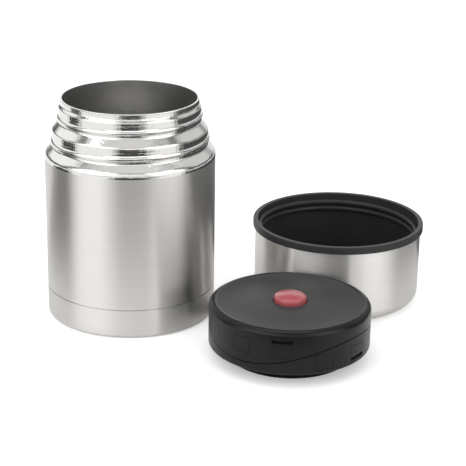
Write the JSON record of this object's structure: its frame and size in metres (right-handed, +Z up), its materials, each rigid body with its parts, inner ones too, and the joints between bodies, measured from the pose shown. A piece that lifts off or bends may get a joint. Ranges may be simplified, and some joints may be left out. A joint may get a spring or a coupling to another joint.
{
  "type": "insulated food jar",
  "caption": "Wide-mouth vacuum food jar in brushed steel, open, with its black push-button stopper and its steel cup lid set down beside it.",
  "frame": {"origin": "centre of the jar's foot, on the surface the jar stands on", "axes": "+Z up along the jar's axis, -Y towards the front, +X towards the lids set down beside it"},
  "size_m": [0.2273, 0.19, 0.1308],
  "materials": {
    "steel_outer": "satin",
    "steel_brushed": "satin",
    "steel_polished": "polished",
    "steel_plain": "satin",
    "spring_steel": "satin",
    "foil": "polished",
    "solder_glass": "gloss",
    "stopper_black": "satin",
    "moulded_black": "matte",
    "liner_black": "satin",
    "silicone": "matte",
    "foam": "matte",
    "button_red": "gloss"
  },
  "bodies": {
    "jar": {"outer_shell": "steel_outer", "neck": "steel_polished", "inner_liner": "steel_polished", "reflective_foil": "foil", "vacuum_base_plate": "steel_plain", "vacuum_seal": "solder_glass", "getter": "steel_plain", "base_cap": "steel_brushed"},
    "stopper": {"stopper_cover": "stopper_black", "stopper_ring": "stopper_black", "stopper_plug": "moulded_black", "seal_flange": "moulded_black", "threaded_sleeve": "moulded_black", "mouth_gasket": "silicone", "plug_foam": "foam", "vent_spring": "spring_steel"},
    "button": {"vent_button": "button_red", "vent_stem": "steel_plain", "valve_seal": "silicone", "spring_washer": "steel_plain"},
    "cup": {"cup_shell": "steel_brushed", "cup_liner": "liner_black", "cup_pad": "foam"}
  },
  "joints": [
    {"name": "stopper_lift", "type": "slide", "parent": "jar", "child": "stopper", "axis": [0, 0, 1], "range_m": [0, 0.15]},
    {"name": "button_press", "type": "slide", "parent": "stopper", "child": "button", "axis": [0, 0, -1], "range_m": [0, 0.0025], "stiffness_N_per_m": 600, "springref_m": -0.004, "deforming": ["vent_spring"]},
    {"name": "cup_lift", "type": "slide", "parent": "jar", "child": "cup", "axis": [0, 0, 1], "range_m": [0, 0.15]}
  ]
}
